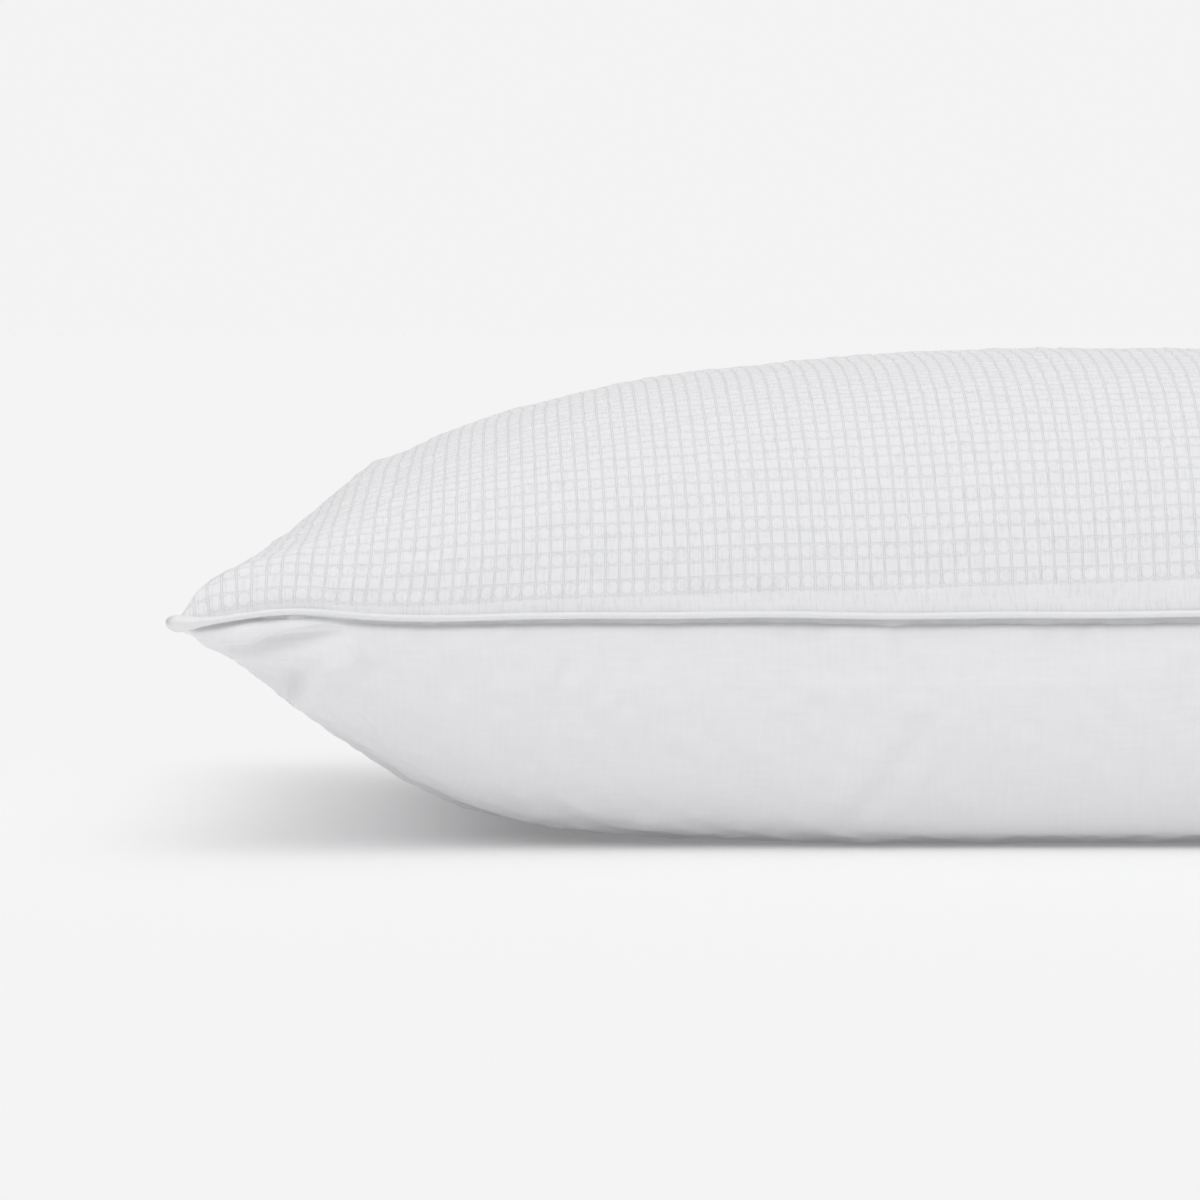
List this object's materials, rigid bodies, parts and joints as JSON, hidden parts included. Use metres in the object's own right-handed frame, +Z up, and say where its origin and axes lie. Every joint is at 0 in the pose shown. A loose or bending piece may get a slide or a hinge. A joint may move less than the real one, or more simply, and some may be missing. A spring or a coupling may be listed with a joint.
{
  "type": "bed pillow",
  "caption": "Rectangular bed pillow with a jacquard top, plain cotton underside, satin piping round the seam and loose fibre filling.",
  "frame": {"origin": "middle of the pillow's plan, on the surface that it rests on", "axes": "+X along the pillow's length, +Y across its width from the front long side to the back long side, +Z up"},
  "size_m": [0.7278, 0.479, 0.184],
  "materials": {
    "jacquard_cotton": "white jacquard weave of small discs and squares between double ribs, slight sheen",
    "plain_cotton": "white plain weave, matt, lightly creased",
    "satin": "white satin bias strip, soft gloss",
    "filler_cord": "unbleached twisted cotton",
    "fibre": "loose white fibre",
    "thread": "white sewing thread",
    "label_ribbon": "white satin ribbon, blank"
  },
  "bodies": {
    "root": {"top_panel": "jacquard_cotton", "bottom_panel": "plain_cotton", "piping_cover": "satin", "piping_cord": "filler_cord", "fibre_fill": "fibre", "seam_thread": "thread", "overedge_thread": "thread", "closing_stitches": "thread", "care_label": "label_ribbon"}
  },
  "joints": []
}
